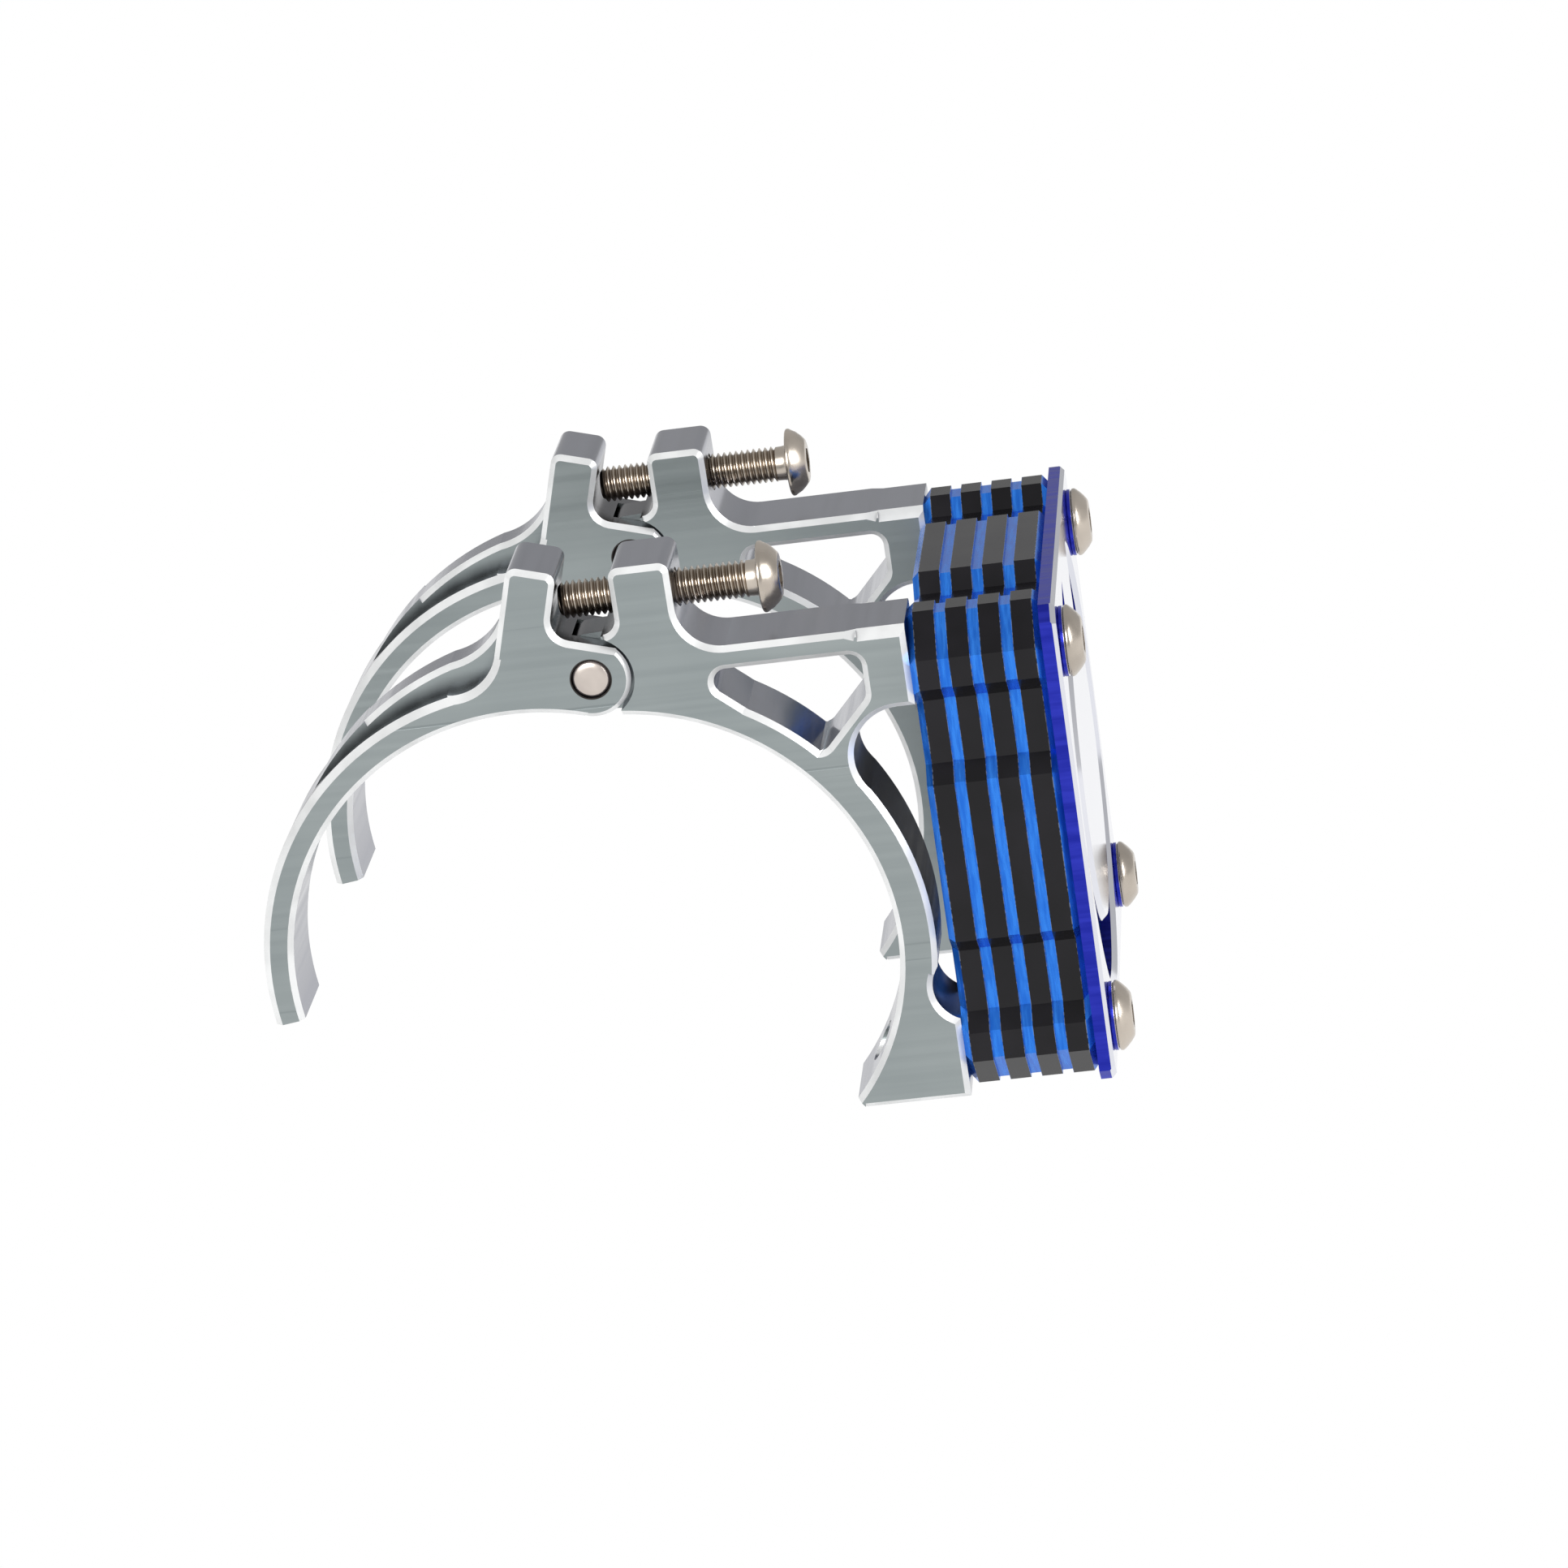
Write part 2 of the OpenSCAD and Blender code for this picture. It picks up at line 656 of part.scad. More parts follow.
module cover_plate() {
    color([0.15, 0.12, 0.6])
        difference() {
            translate([plate_x, 0, fan_z])
                rotate([90, 0, 90])
                    linear_extrude(height = plate_t)
                        intersection() {
                            square(case_w, center = true);
                            rotate([0, 0, 45])
                                square((case_w - plate_c) * sqrt(2), center = true);
                        }
            difference() {
                union() {
                    xbar(plate_x - 1, wash_x + 1, open_r, 0, fan_z);
                    xcone(wash_x - edge_c, wash_x + e, open_r - e, open_r + edge_c, 0, fan_z);
                }
                xbar(plate_x - 2, wash_x - edge_c + e, disc_r, 0, fan_z);
                xcone(wash_x - edge_c, wash_x + e, disc_r, disc_r - edge_c, 0, fan_z);
                translate([plate_x - 2, -bridge_w / 2, fan_z])
                    cube([plate_t + 3, bridge_w, open_r + 4]);
            }
            for (sy = [-1, 1], sz = [-1, 1])
                xbar(plate_x - 1, wash_x + 1, thread_r + 0.1,
                     sy * hole_pitch / 2, fan_z + sz * hole_pitch / 2);
            // bright bevels along the outer edges and the cut corners
            for (a = [0 : 45 : 315])
                translate([wash_x, 0, fan_z])
                    rotate([a, 0, 0])
                        translate([0, 0, a % 90 == 0 ? half : (case_w - plate_c) / sqrt(2)])
                            rotate([0, 45, 0])
                                cube(a % 90 == 0 ? [edge_c, case_w + 2, edge_c] :
                                     [edge_c * 1.3, 6, edge_c * 1.3], center = true);
        }
}

module plate_washers() {
    color([0.15, 0.12, 0.6])
        for (sy = [-1, 1], sz = [-1, 1])
            xtube(wash_x, head_x, head_r - 0.05, thread_r + 0.1,
                  sy * hole_pitch / 2, fan_z + sz * hole_pitch / 2);
}

module plate_screws() {
    color([0.75, 0.72, 0.68])
        for (sy = [-1, 1], sz = [-1, 1])
            translate([head_x, sy * hole_pitch / 2, fan_z + sz * hole_pitch / 2])
                button_screw(plate_screw_l, low_head_h);
}

// ---- fan inside the case ----

module bearing_tube() {
    color([0.8, 0.68, 0.3])
        difference() {
            union() {
                xbar(tube_x, back_x, tube_r, 0, fan_z);
                xbar(pcb_x + pcb_t, back_x, tube_r + 3, 0, fan_z);
            }
            xbar(tube_x - 1, back_x - 0.3, bear_r, 0, fan_z);
        }
}

module bearing(x) {
    xtube(x, x + bear_w, bear_r, shaft_r + 0.03, 0, fan_z);
}

module front_bearing() {
    color([0.6, 0.6, 0.62])
        bearing(tube_x + 0.2);
}

module rear_bearing() {
    color([0.6, 0.6, 0.62])
        bearing(back_x - 1.6 - bear_w);
}

module stator_core() {
    color([0.35, 0.36, 0.38])
        difference() {
            union() {
                xbar(core_x, core_x + core_t, tube_r + 1.3, 0, fan_z);
                for (a = [0 : 90 : 270])
                    translate([core_x, 0, fan_z])
                        rotate([a, 0, 0])
                            translate([0, -0.9, tube_r])
                                cube([core_t, 1.8, core_r - tube_r - 0.6]);
                intersection() {
                    xtube(core_x, core_x + core_t, core_r, core_r - 1.1, 0, fan_z);
                    for (a = [0, 90])
                        translate([core_x + core_t / 2, 0, fan_z])
                            rotate([a, 0, 0])
                                cube([core_t + 1, 7.6, core_r * 3], center = true);
                }
            }
            xbar(core_x - 1, core_x + core_t + 1, tube_r, 0, fan_z);
        }
}

module stator_coils() {
    color([0.72, 0.36, 0.14])
        for (a = [0 : 90 : 270])
            translate([core_x + core_t / 2, 0, fan_z])
                rotate([a, 0, 0])
                    difference() {
                        translate([0, 0, (tube_r + core_r + 0.2) / 2])
                            cube([core_t + 1, 3, core_r - tube_r - 2.5], center = true);
                        cube([core_t, 1.8, core_r * 3], center = true);
                    }
}

module circuit_board() {
    color([0.08, 0.35, 0.16])
        union() {
            xtube(pcb_x, pcb_x + pcb_t, 10.2, tube_r, 0, fan_z);
            translate([pcb_x + pcb_t, 3.9, fan_z - 5.4])
                rotate([20, 0, 0])
                    cube([0.5, 2.4, 1.4]);
        }
}

module lead_grommet() {
    color([0.06, 0.06, 0.07])
        difference() {
            translate([plate_x - 2, half - 3.2, fan_z - 1.5])
                cube([2, 3.2, 3]);
            translate([plate_x - 1, half - 6, fan_z])
                rotate([-90, 0, 0])
                    cylinder(h = 8, r = 0.6);
        }
}

// Rotor hub with blades pitched across the duct
module impeller() {
    span = rotor_x1 - rotor_x0;
    color([0.1, 0.1, 0.12])
        union() {
            difference() {
                xbar(rotor_x0, rotor_x1, hub_r, 0, fan_z);
                xbar(cup_x, rotor_x1 + 1, cup_r + cup_t, 0, fan_z);
                xbar(rotor_x0 - 1, cup_x + 1, shaft_r, 0, fan_z);
            }
            intersection() {
                for (i = [0 : blades - 1])
                    translate([(rotor_x0 + rotor_x1) / 2, 0, fan_z])
                        rotate([i * 360 / blades, 0, 0])
                            translate([0, 0, (hub_r + blade_r) / 2])
                                rotate([0, 0, 48])
                                    cube([span * 1.6, 0.9, blade_r - hub_r + 1.2], center = true);
                xtube(rotor_x0 + 0.2, rotor_x1 - 0.1, blade_r, hub_r - 0.4, 0, fan_z);
            }
        }
}

module rotor_cup() {
    color([0.6, 0.6, 0.62])
        difference() {
            xbar(cup_x, rotor_x1, cup_r + cup_t, 0, fan_z);
            xbar(cup_x + cup_t, rotor_x1 + 1, cup_r, 0, fan_z);
            xbar(cup_x - 1, cup_x + 2, shaft_r, 0, fan_z);
        }
}

module magnet_ring() {
    color([0.2, 0.19, 0.19])
        xtube(cup_x + cup_t, rotor_x1, cup_r, mag_r, 0, fan_z);
}

module rotor_shaft() {
    color([0.75, 0.75, 0.76])
        xbar(rotor_x0, back_x - 0.5, shaft_r, 0, fan_z);
}

module shaft_clip() {
    color([0.3, 0.3, 0.3])
        xtube(back_x - 1.3, back_x - 0.9, shaft_r + 0.8, shaft_r, 0, fan_z);
}

near_bracket();
far_bracket();
near_hinge_pin();
far_hinge_pin();
near_arm();
far_arm();
near_clamp_screw();
far_clamp_screw();
fan_case();
cover_plate();
plate_washers();
plate_screws();
bearing_tube();
front_bearing();
rear_bearing();
stator_core();
stator_coils();
circuit_board();
lead_grommet();
impeller();
rotor_cup();
magnet_ring();
rotor_shaft();
shaft_clip();
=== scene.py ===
from math import radians, cos, sin, pi

import bpy
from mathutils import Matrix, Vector


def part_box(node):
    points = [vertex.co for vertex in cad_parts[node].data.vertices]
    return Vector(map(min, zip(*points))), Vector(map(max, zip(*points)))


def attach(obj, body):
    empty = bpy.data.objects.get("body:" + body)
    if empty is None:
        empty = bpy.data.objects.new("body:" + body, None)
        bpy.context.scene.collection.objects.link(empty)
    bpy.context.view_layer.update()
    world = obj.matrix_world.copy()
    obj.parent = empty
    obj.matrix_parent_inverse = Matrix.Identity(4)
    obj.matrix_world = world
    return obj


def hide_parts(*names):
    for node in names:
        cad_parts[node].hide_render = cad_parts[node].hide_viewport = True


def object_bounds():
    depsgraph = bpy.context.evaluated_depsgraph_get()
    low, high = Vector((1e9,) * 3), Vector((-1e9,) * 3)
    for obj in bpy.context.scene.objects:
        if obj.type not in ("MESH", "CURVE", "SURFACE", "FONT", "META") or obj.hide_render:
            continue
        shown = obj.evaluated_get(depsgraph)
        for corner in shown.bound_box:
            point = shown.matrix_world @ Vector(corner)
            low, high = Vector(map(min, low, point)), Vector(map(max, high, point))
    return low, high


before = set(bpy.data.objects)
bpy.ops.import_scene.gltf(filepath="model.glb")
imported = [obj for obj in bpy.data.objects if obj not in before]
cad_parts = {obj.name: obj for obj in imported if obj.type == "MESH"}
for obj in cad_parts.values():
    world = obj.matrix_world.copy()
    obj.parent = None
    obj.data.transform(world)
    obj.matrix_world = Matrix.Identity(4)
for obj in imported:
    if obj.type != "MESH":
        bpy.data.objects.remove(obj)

MM = 0.001
cad_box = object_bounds()


# ---------------------------------------------------------------- camera

CAMERA_AT = (61.00, -404.69, 147.60)
CAMERA_TURN = (70.5235, 8.2716, 4.1835)
CAMERA_LENS = 119.33
CAMERA_SHIFT = (0.0040, 0.0133)


def set_camera():
    """A long lens, a little above the fan and rolled as it is held."""
    data = bpy.data.cameras.new("bench_camera")
    cam = bpy.data.objects.new("bench_camera", data)
    bpy.context.scene.collection.objects.link(cam)
    cam.location = [c * MM for c in CAMERA_AT]
    cam.rotation_euler = [radians(a) for a in CAMERA_TURN]
    data.sensor_width = 36.0
    data.lens = CAMERA_LENS
    data.shift_x, data.shift_y = CAMERA_SHIFT
    data.clip_start = 0.01
    data.clip_end = 20.0
    bpy.context.scene.camera = cam


set_camera()


# ---------------------------------------------------------------- sizes, in millimetres

def span(name, axis):
    """Lowest and highest of a solid along an axis."""
    low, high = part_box(name)
    return low[axis] / MM, high[axis] / MM


def middle(name, axis):
    return sum(span(name, axis)) / 2


def width(name, axis):
    low, high = span(name, axis)
    return high - low


PIN_Z = middle("near_hinge_pin", 2)
PIN_R = width("near_hinge_pin", 0) / 2
FAN_Z = middle("fan_case", 2)

# the clamps: middle and half of their width, the arm's band and the rib on it
CLAMP_Y = middle("far_bracket", 1)
CLAMP_HALF = width("far_bracket", 1) / 2
BAND_R = 23.45
RIB_HALF = 2.0
ARM_SWING = 16.3
# the next two bound the shade painted in the fork between the ears, across and above the dowel
FORK_SHADE_X = (-4.4, 2.9)
FORK_SHADE_RISE = (2.2, 7.6)

# the case: bevelled ends, lands and the grooves between them
CASE_X0, CASE_X1 = span("fan_case", 0)
CASE_BEVEL = 0.55
GROOVE_W = 0.87
LANDS = 4
DUCT_CLEAR_R = 19.0

# screws, with the under-head face at zero and the thread running back from it
HEAD_R = width("near_clamp_screw", 1) / 2
THREAD_R = HEAD_R / 1.9
HEAD_H = THREAD_R * 1.1
SCREW_L = width("near_clamp_screw", 0) - HEAD_H
SCREW_Y = abs(middle("near_clamp_screw", 1))
SCREW_Z = middle("near_clamp_screw", 2)
SEAT_X = span("near_clamp_screw", 0)[1] - HEAD_H
PITCH = 0.5
ROOT_R = THREAD_R - 0.31
TIP_R = THREAD_R * 0.74
NECK = 0.95

# impeller
BLADES = 7
BLADE_T = 0.75
BLADE_ARC_R = 8.5
BLADE_ARC = 58.0
BLADE_PITCH = 14.0
BLADE_TWIST = -16.0
HUB_WALL = 1.2


# ---------------------------------------------------------------- materials from nodes

def linear(r, g, b):
    """A display colour, 0 to 255, as the linear colour a shader takes."""
    out = []
    for v in (r, g, b):
        v = v / 255.0
        out.append(v / 12.92 if v <= 0.04045 else ((v + 0.055) / 1.055) ** 2.4)
    return (out[0], out[1], out[2], 1.0)


class Value:
    """A number socket that can be used in sums."""

    def __init__(self, finish, socket):
        self.finish = finish
        self.socket = socket

    def math(self, operation, *operands):
        node = self.finish.node("ShaderNodeMath", {"operation": operation},
                                dict(enumerate(operands)))
        return Value(self.finish, node.outputs[0])

    def __add__(self, other):
        return self.math("ADD", self, other)

    def __sub__(self, other):
        return self.math("SUBTRACT", self, other)

    def __rsub__(self, other):
        return self.math("SUBTRACT", other, self)

    def __mul__(self, other):
        return self.math("MULTIPLY", self, other)

    def __gt__(self, other):
        return self.math("GREATER_THAN", self, other)

    def __lt__(self, other):
        return self.math("LESS_THAN", self, other)

    def size(self):
        return self.math("ABSOLUTE", self)

    def root(self):
        return self.math("SQRT", self)

    def wave(self):
        return self.math("SINE", self)

    def within(self, low, high):
        return (self > low) * (self < high)

    def ramp(self, low, high, to_low=0.0, to_high=1.0):
        """Rises smoothly from to_low at low to to_high at high."""
        node = self.finish.node(
            "ShaderNodeMapRange", {"interpolation_type": "SMOOTHSTEP", "clamp": True},
            {0: self, 1: low, 2: high, 3: to_low, 4: to_high})
        return Value(self.finish, node.outputs[0])

    def spread(self, to_low=0.0, to_high=1.0):
        """Draws the middle of a noise out from to_low to to_high."""
        return self.ramp(0.3, 0.7, to_low, to_high)


def distance(u, v):
    """How far from the origin of the plane of u and v."""
    return (u * u + v * v).root()


class Finish:
    """One surface finish, put together from nodes; its places are in millimetres."""

    def __init__(self, name, **plain):
        self.material = bpy.data.materials.new(name)
        self.material.use_nodes = True
        self.tree = self.material.node_tree
        self.shader = self.tree.nodes["Principled BSDF"]
        self.coords = self.node("ShaderNodeTexCoord")
        place = self.node("ShaderNodeSeparateXYZ", {}, {0: self.coords.outputs["Object"]})
        self.x, self.y, self.z = (Value(self, place.outputs[i]) * 1000.0 for i in range(3))
        face = self.node("ShaderNodeSeparateXYZ", {}, {0: self.coords.outputs["Normal"]})
        self.nx, self.ny = (Value(self, face.outputs[i]) for i in range(2))
        for key, value in plain.items():
            self.shader.inputs[key.replace("_", " ")].default_value = value

    def node(self, kind, settings=None, sockets=None):
        """A new node; a socket is given a number or colour, or is joined to what feeds it."""
        node = self.tree.nodes.new(kind)
        for key, value in (settings or {}).items():
            setattr(node, key, value)
        for key, value in (sockets or {}).items():
            if isinstance(value, Value):
                value = value.socket
            if isinstance(value, bpy.types.NodeSocket):
                self.tree.links.new(value, node.inputs[key])
            else:
                node.inputs[key].default_value = value
        return node

    def grain(self, scale, detail=2.0, stretch=(1.0, 1.0, 1.0), turn=(0.0, 0.0, 0.0)):
        """Noise in the piece's own space, 0 to 1; stretch above 1 makes it finer that way."""
        mapped = self.node("ShaderNodeMapping", {}, {
            "Vector": self.coords.outputs["Object"], "Scale": stretch, "Rotation": turn})
        node = self.node("ShaderNodeTexNoise", {}, {
            "Vector": mapped.outputs[0], "Scale": scale, "Detail": detail, "Roughness": 0.5})
        return Value(self, node.outputs[0])

    def blend(self, share, first, second):
        """Colour first where share is 0, second where it is 1."""
        node = self.node("ShaderNodeMix", {"data_type": "RGBA"}, {0: share, 6: first, 7: second})
        return node.outputs[2]

    def mottle(self, noise, dark, light):
        """From the dark display colour to the light one, as the noise goes."""
        return self.blend(noise.spread(), linear(*dark), linear(*light))

    def wear(self, *, colour, bump, depth, rough=None, metal=None):
        """Joins what varies over the surface to the shader; depth is the bump's, in metres."""
        for key, value in (("Base Color", colour), ("Roughness", rough), ("Metallic", metal)):
            if value is None:
                continue
            if isinstance(value, Value):
                value = value.socket
            self.tree.links.new(value, self.shader.inputs[key])
        node = self.node("ShaderNodeBump", {},
                         {"Strength": 1.0, "Distance": depth, "Height": bump})
        self.tree.links.new(node.outputs[0], self.shader.inputs["Normal"])
        return self.material


# ---------------------------------------------------------------- finishes

def painted_rib_shade(f, flat_tone, wall_tone, lie):
    """The arm's flats and walls, with painted shade in the hollow along the rib's root and on
    the band's ledge beside it.
    """
    swing = radians(ARM_SWING)
    ring = distance(f.x + PIN_Z * sin(swing), f.z - PIN_Z * (1.0 - cos(swing)))
    offset = (f.y.size() - CLAMP_Y).size()
    above = f.z.ramp(3.0, 14.0) * (ring > BAND_R - 0.25)
    fade = f.grain(700.0, 2.0, stretch=(1.0, 1.0, 0.2), turn=lie).spread(0.85, 1.0)
    # painted shade: the rib's faces darkened towards the band, fading in from low on the arm
    root = (1.0 - ring.ramp(BAND_R, BAND_R + 1.5)) * (offset < RIB_HALF + 0.1) * above * fade
    # painted shade on the band's ledge beside the rib, strongest next to it
    ledge_shade = (ring < BAND_R + 0.25) * (offset > RIB_HALF - 0.05)
    ledge_shade = ledge_shade * offset.ramp(RIB_HALF, CLAMP_HALF, 0.85, 0.35) * above
    # colours of the painted shade on the rib and on the ledge
    return (f.blend(root * 0.85, flat_tone, linear(42, 44, 46)),
            f.blend(ledge_shade, wall_tone, linear(52, 54, 56)))


def clamp_anodise(name, turn=0.0):
    """Grey anodise with drawn streaks on the flats, milled walls and bright cut bevels, with
    painted shade: walls partly darker than the flats, in the fork, round the dowels and along
    the arms' rib.
    """
    f = Finish(name)
    across = f.ny.size()
    flat = across.ramp(0.86, 0.96)
    wall = 1.0 - across.ramp(0.3, 0.5)
    bevel = (1.0 - flat) * (1.0 - wall)
    lie = (0.0, radians(-turn), 0.0)
    cloud = f.grain(90.0, 3.0)
    streak = f.grain(230.0, 4.0, stretch=(0.05, 1.0, 7.0), turn=lie)
    scratch = f.grain(520.0, 1.0, stretch=(0.012, 1.0, 2.4), turn=lie).ramp(0.70, 0.76)
    mill = f.grain(900.0, 2.0, stretch=(1.0, 0.04, 1.0))
    burr = f.grain(300.0, 2.0).ramp(0.35, 0.65)

    flat_tone = f.blend(streak.ramp(0.2, 0.8) * 0.3 + cloud.spread() * 0.35 + 0.1,
                        linear(144, 152, 153), linear(160, 167, 167))
    flat_tone = f.blend(scratch * 0.35, flat_tone, linear(112, 120, 122))
    # the milled walls' own finish, also toned darker and more violet than the flats as painted
    # shade, since they face away from the light
    wall_tone = f.mottle(mill, (139, 141, 150), (150, 152, 161))
    # painted shade: the walls in the fork between the ears, above the dowel, drawn near black
    fork_shade = f.x.within(*FORK_SHADE_X) * f.z.within(PIN_Z + FORK_SHADE_RISE[0], PIN_Z + FORK_SHADE_RISE[1])
    wall_tone = f.blend(fork_shade * 0.85, wall_tone, linear(30, 28, 33))
    # on the arms, shade is also painted along the rib
    if turn:
        flat_tone, wall_tone = painted_rib_shade(f, flat_tone, wall_tone, lie)
    tone = f.blend(wall, flat_tone, wall_tone)
    tone = f.blend(bevel, tone, f.blend(burr, linear(212, 213, 213), linear(226, 227, 227)))
    # painted shadow: a dark ring on the face just round each dowel, for the gap and its chamfer
    dowel_gap_shade = (1.0 - distance(f.x, f.z - PIN_Z).ramp(PIN_R + 0.14, PIN_R + 0.2)) * flat
    tone = f.blend(dowel_gap_shade, tone, linear(58, 54, 52))

    rough = streak.spread(0.34, 0.42) * flat + mill.spread(0.16, 0.27) * wall + bevel * 0.3
    relief = streak * flat * 0.4 + mill * wall * 0.2 + scratch * flat * -0.5
    return f.wear(colour=tone, rough=rough, metal=1.0 - bevel * 0.6, bump=relief, depth=0.000025)


def case_anodise():
    """Black gloss lands with bright blue grooves, bevels, faces and duct."""
    f = Finish("black_over_blue", Specular_IOR_Level=0.3)
    land = (CASE_X1 - CASE_X0 - 2 * CASE_BEVEL - (LANDS - 1) * GROOVE_W) / LANDS
    starts = [CASE_X0 + CASE_BEVEL + (land + GROOVE_W) * i for i in range(LANDS)]
    grooves = [(f.x - (start - GROOVE_W / 2)).size() < GROOVE_W / 2 + 0.015
               for start in starts[1:]]
    edges = [1.0 - (f.x - at).size().ramp(0.02, 0.05)
             for start in starts for at in (start, start + land)]
    inside = f.x.within(CASE_X0 + CASE_BEVEL - 0.01, CASE_X1 - CASE_BEVEL + 0.01)
    outer = distance(f.y, f.z - FAN_Z) > DUCT_CLEAR_R
    black = inside * (1.0 - sum(grooves[1:], grooves[0])) * outer
    metal = 1.0 - black
    cloud = f.grain(140.0, 3.0)
    tool = f.grain(420.0, 2.0, stretch=(9.0, 1.0, 1.0))
    # this noise breaks up the painted highlight along the lands' edges
    edge_glint = f.grain(2600.0, 2.0).ramp(0.45, 0.6)

    blue = f.mottle(tool, (33, 106, 208), (52, 130, 228))
    ink = f.blend(cloud.ramp(0.35, 0.7), linear(6, 5, 8), linear(15, 13, 18))
    tone = f.blend(black, blue, ink)
    # painted highlight: a light line along each land's edge, on the outside only
    tone = f.blend(sum(edges[1:], edges[0]) * edge_glint * outer * 0.4, tone, linear(140, 148, 164))
    rough = black * cloud.spread(0.16, 0.27) + metal * tool.spread(0.2, 0.3)
    relief = tool * metal * 0.3 + cloud * black * 0.4
    return f.wear(colour=tone, rough=rough, metal=metal * 0.7, bump=relief, depth=0.000012)


def plate_anodise():
    """Blue-violet anodise on walls and edge, polished bright on the face and its bevels."""
    f = Finish("violet_blue_anodise", Metallic=1.0)
    bright = f.nx.ramp(0.5, 0.68)
    brushed = f.grain(520.0, 3.0, stretch=(0.25, 3.0, 3.0))
    lap = f.grain(30.0, 2.0)
    violet = f.mottle(brushed, (38, 46, 164), (52, 60, 186))
    polish = f.mottle(lap, (214, 216, 226), (232, 233, 240))
    tone = f.blend(bright, violet, polish)
    rough = brushed.spread(0.26, 0.38) * (1.0 - bright) + lap.spread(0.10, 0.16) * bright
    return f.wear(colour=tone, rough=rough, bump=brushed * (1.0 - bright), depth=0.000008)


def nickel_steel(name="nickel_steel", tint=(206, 196, 184), rough=0.22, oiled=False):
    """Warm nickel-plated steel of screws and dowels, with oil in the roots of an open thread."""
    f = Finish(name, Metallic=1.0)
    cloud = f.grain(220.0, 3.0)
    fine = f.grain(1500.0, 2.0)
    tone = f.mottle(cloud, [int(v * 0.88) for v in tint], tint)
    if oiled:
        away = distance(f.y.size() - SCREW_Y, f.z - SCREW_Z)
        shank = 1.0 - (f.x > SEAT_X - 1.0)
        root = (1.0 - away.ramp(1.24, 1.46)) * shank
        tone = f.blend(root * 0.5, tone, linear(104, 86, 64))
    return f.wear(colour=tone, rough=cloud.spread(rough, rough + 0.1), bump=fine, depth=0.000006)


def moulded(name, dark, light, rough, metal=0.0):
    """Moulded, sintered or ground stock with a fine even grain."""
    f = Finish(name, Metallic=metal)
    fine = f.grain(900.0, 3.0)
    tone = f.mottle(f.grain(120.0, 2.0), dark, light)
    return f.wear(colour=tone, rough=fine.spread(rough - 0.06, rough + 0.08), bump=fine,
                  depth=0.00002)


def ripples(value, spacing):
    """A wave that comes back every spacing, in millimetres."""
    return (value * (2 * pi / spacing)).wave()


def laminated_steel():
    """A stack of thin sheets seen from the side."""
    f = Finish("laminated_steel", Metallic=1.0)
    sheet = ripples(f.x, 0.35).ramp(-0.6, 0.2)
    tone = f.blend(sheet, linear(70, 70, 74), linear(150, 150, 152))
    return f.wear(colour=tone, rough=sheet.ramp(0.0, 1.0, 0.5, 0.35), bump=sheet, depth=0.00004)


def copper_winding():
    """Enamelled wire laid side by side."""
    f = Finish("copper_winding", Metallic=1.0)
    shade = f.grain(300.0, 2.0)
    tone = f.mottle(shade, (150, 72, 34), (206, 118, 66))
    return f.wear(colour=tone, rough=shade.spread(0.28, 0.4), bump=ripples(f.x, 0.24),
                  depth=0.00006)


def board_lacquer():
    """Green lacquer over copper tracks."""
    f = Finish("board_lacquer", Metallic=0.0, Roughness=0.35)
    track = ripples(distance(f.y, f.z - FAN_Z), 1.4).ramp(0.55, 0.8)
    tone = f.blend(track * 0.6, linear(10, 66, 40), linear(52, 120, 66))
    return f.wear(colour=tone, bump=track, depth=0.00003)


# ---------------------------------------------------------------- turning and joining

MERGE = 1e-7
SLIVER = 0.003 * MM


def step(along, out, axis="X"):
    """A move in millimetres along the turning axis and away from it."""
    return (along * MM, 0.0, out * MM) if axis == "X" else (0.0, along * MM, out * MM)


def new_point(name, along, out, axis="X"):
    """A new piece of one point, ready to be drawn out into a half profile."""
    bpy.ops.object.select_all(action="DESELECT")
    bpy.context.tool_settings.mesh_select_mode = (True, False, False)
    bpy.ops.mesh.primitive_plane_add(size=MM, location=(0.0, 0.0, 0.0))
    piece = bpy.context.object
    piece.name = name
    bpy.ops.object.mode_set(mode="EDIT")
    bpy.ops.mesh.select_all(action="SELECT")
    bpy.ops.mesh.merge(type="CENTER")
    bpy.ops.transform.translate(value=step(along, out, axis))
    return piece


def draw_out(points, axis="X"):
    """Draws the profile on, from each point to the next."""
    for (a, r), (b, s) in zip(points, points[1:]):
        bpy.ops.mesh.extrude_region_move(
            TRANSFORM_OT_translate={"value": step(b - a, s - r, axis)})


def settle():
    """Merges doubled points and turns every face outwards."""
    bpy.ops.mesh.select_all(action="SELECT")
    bpy.ops.mesh.remove_doubles(threshold=MERGE)
    bpy.ops.mesh.normals_make_consistent(inside=False)
    bpy.ops.object.mode_set(mode="OBJECT")


def turned(name, points, axis="X", steps=48):
    """A piece turned on a lathe from its half profile."""
    piece = new_point(name, *points[0], axis)
    draw_out(points, axis)
    bpy.ops.mesh.select_all(action="SELECT")
    bpy.ops.mesh.spin(steps=steps, angle=2 * pi, center=(0.0, 0.0, 0.0),
                      axis=(1.0, 0.0, 0.0) if axis == "X" else (0.0, 1.0, 0.0))
    settle()
    return piece


def pick(piece):
    bpy.ops.object.select_all(action="DESELECT")
    piece.select_set(True)
    bpy.context.view_layer.objects.active = piece


def remove(piece):
    bpy.data.objects.remove(piece, do_unlink=True)


def settle_place(piece, where=(0.0, 0.0, 0.0), turn=(0.0, 0.0, 0.0)):
    """Turns a piece and moves it in millimetres, and keeps that in its mesh."""
    pick(piece)
    piece.rotation_euler = turn
    piece.location = [c * MM for c in where]
    bpy.ops.object.transform_apply(location=True, rotation=True, scale=True)


